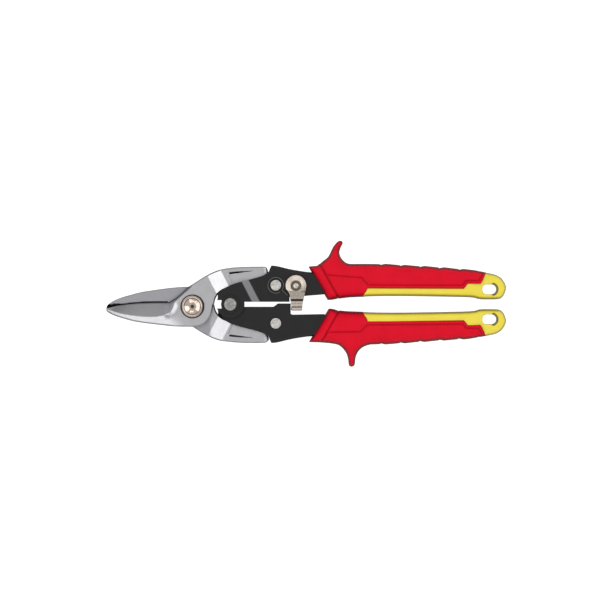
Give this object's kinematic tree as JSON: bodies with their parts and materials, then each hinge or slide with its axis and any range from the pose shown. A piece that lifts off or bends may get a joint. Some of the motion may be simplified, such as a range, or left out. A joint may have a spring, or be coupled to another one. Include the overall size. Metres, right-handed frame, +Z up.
{
  "type": "aviation snips",
  "caption": "Compound-action sheet metal snips with straight jaws, folded steel handles, guarded two-part grips and a thumb latch.",
  "frame": {"origin": "middle of the tool's bounding box, on the plane it lies on", "axes": "+X from the jaws to the ends of the handles, +Y towards the handle with the latch, +Z up through the tool as it lies on its back"},
  "size_m": [0.2594, 0.0818, 0.019],
  "materials": {
    "ground_steel": "ground and polished",
    "nickel_steel": "nickel plated",
    "black_steel": "satin black coating",
    "spring_steel": "drawn wire",
    "red_grip": "soft matt moulding",
    "yellow_grip": "satin moulding"
  },
  "bodies": {
    "upper_handle": {"upper_handle_channel": "black_steel", "upper_grip_core": "yellow_grip", "upper_grip_cover": "red_grip", "handle_rivet": "black_steel", "handle_washer_front": "black_steel", "handle_washer_rear": "black_steel", "spring_sleeve": "spring_steel", "handle_spring": "spring_steel", "upper_blade_rivet": "black_steel", "latch_rivet": "nickel_steel", "latch_washer": "nickel_steel", "latch_spring": "spring_steel"},
    "lower_handle": {"lower_handle_channel": "black_steel", "lower_grip_core": "yellow_grip", "lower_grip_cover": "red_grip", "lower_blade_rivet": "black_steel"},
    "front_blade": {"front_blade": "ground_steel", "pivot_bolt": "nickel_steel", "pivot_washer": "black_steel", "pivot_nut": "nickel_steel"},
    "rear_blade": {"rear_blade": "ground_steel"},
    "latch": {"latch": "nickel_steel"}
  },
  "joints": [
    {"name": "handle_hinge", "type": "hinge", "parent": "upper_handle", "child": "lower_handle", "pos_m": [-0.04905, -0.00038, 0.0095], "axis": [0, 0, -1], "range_deg": [0, 40], "deforming": ["handle_spring"]},
    {"name": "front_blade_hinge", "type": "hinge", "parent": "upper_handle", "child": "front_blade", "pos_m": [-0.0197, 0.01192, 0.0095], "axis": [0, 0, -1], "range_deg": [0, 10.5]},
    {"name": "rear_blade_hinge", "type": "hinge", "parent": "front_blade", "child": "rear_blade", "pos_m": [-0.07365, -0.00178, 0.0095], "axis": [0, 0, -1], "range_deg": [0, 20.6]},
    {"name": "latch_hinge", "type": "hinge", "parent": "upper_handle", "child": "latch", "pos_m": [-0.00665, 0.01162, 0.0095], "axis": [0, 0, 1], "range_deg": [-8, 40], "deforming": ["latch_spring"]}
  ],
  "couplings": [
    {"joint": "front_blade_hinge", "follows": "handle_hinge", "ratio": 0.2606},
    {"joint": "rear_blade_hinge", "follows": "handle_hinge", "ratio": 0.5138}
  ]
}
